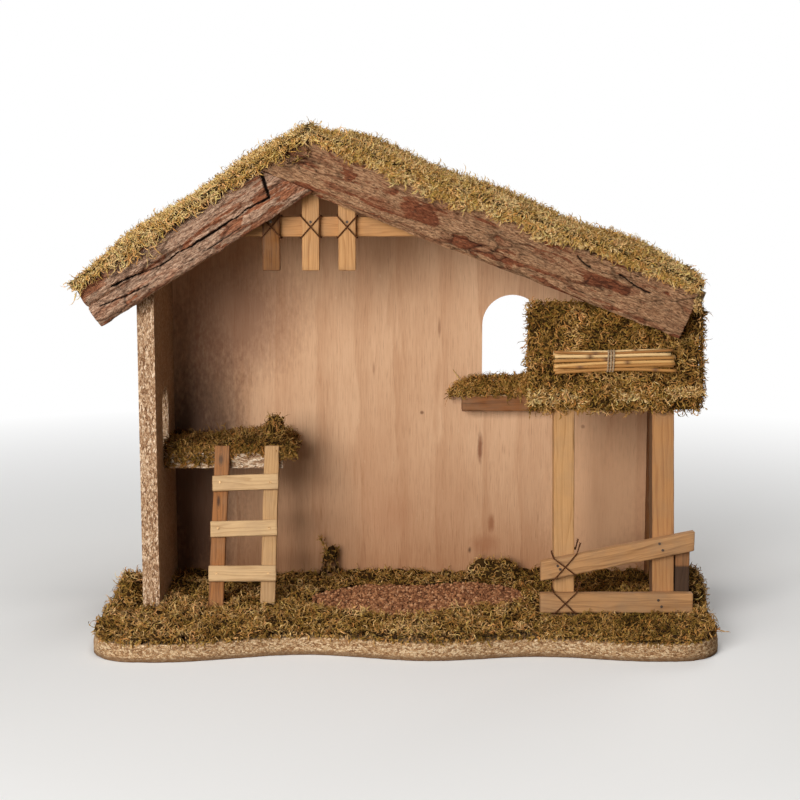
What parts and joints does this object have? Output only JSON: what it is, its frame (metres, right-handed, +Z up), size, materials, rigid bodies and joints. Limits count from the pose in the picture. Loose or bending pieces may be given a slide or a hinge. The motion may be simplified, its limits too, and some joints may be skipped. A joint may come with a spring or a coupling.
{
  "type": "nativity stable",
  "caption": "Open-fronted wooden nativity stable with a mossy bark-edged gable roof, ladder to a hay shelf, fenced pen under a hay loft and arched windows.",
  "frame": {"origin": "on the underside of the base board, under the middle of the open front's width", "axes": "+X to the right along the length, +Y to the back, +Z up"},
  "size_m": [0.4468, 0.1938, 0.3601],
  "materials": {
    "chipboard": "raw particle board, matt",
    "plywood": "raw plywood, matt",
    "bark": "rough bark, matt",
    "lath": "raw softwood lath, matt",
    "dark_lath": "stained lath, matt",
    "moss": "dry preserved moss, matt",
    "gravel": "fine stone grit, matt",
    "straw": "dry straw, satin",
    "twine": "thin twine, matt",
    "nail": "wire nail, dull"
  },
  "bodies": {
    "root": {"base_board": "chipboard", "left_wall": "chipboard", "left_roof_board": "chipboard", "right_roof_board": "chipboard", "hay_shelf": "chipboard", "back_panel": "plywood", "loft_floor": "plywood", "loft_front_board": "plywood", "left_bark_slab": "bark", "right_bark_slab": "bark", "gable_tie_bar": "lath", "gable_slat_left": "lath", "gable_slat_middle": "lath", "gable_slat_right": "lath", "ladder_stile_left": "lath", "ladder_stile_right": "lath", "ladder_rung_1": "lath", "ladder_rung_2": "lath", "ladder_rung_3": "lath", "middle_post": "lath", "right_post": "lath", "upper_fence_rail": "lath", "lower_fence_rail": "lath", "window_sill": "dark_lath", "corner_batten": "dark_lath", "fence_stub": "dark_lath", "left_roof_moss": "moss", "right_roof_moss": "moss", "ground_moss": "moss", "moss_mound_right": "moss", "moss_mound_left": "moss", "moss_mound_back": "moss", "moss_tuft": "moss", "shelf_moss": "moss", "loft_moss": "moss", "sill_moss": "moss", "gravel_patch": "gravel", "straw_bundle": "straw", "slat_lashing_left": "twine", "slat_lashing_middle": "twine", "slat_lashing_right": "twine", "upper_rail_lashing": "twine", "lower_rail_lashing": "twine", "straw_tie": "twine", "fence_nails": "nail", "rail_nails": "nail", "slat_nails": "nail", "ladder_nails_left": "nail", "ladder_nails_right": "nail"}
  },
  "joints": []
}
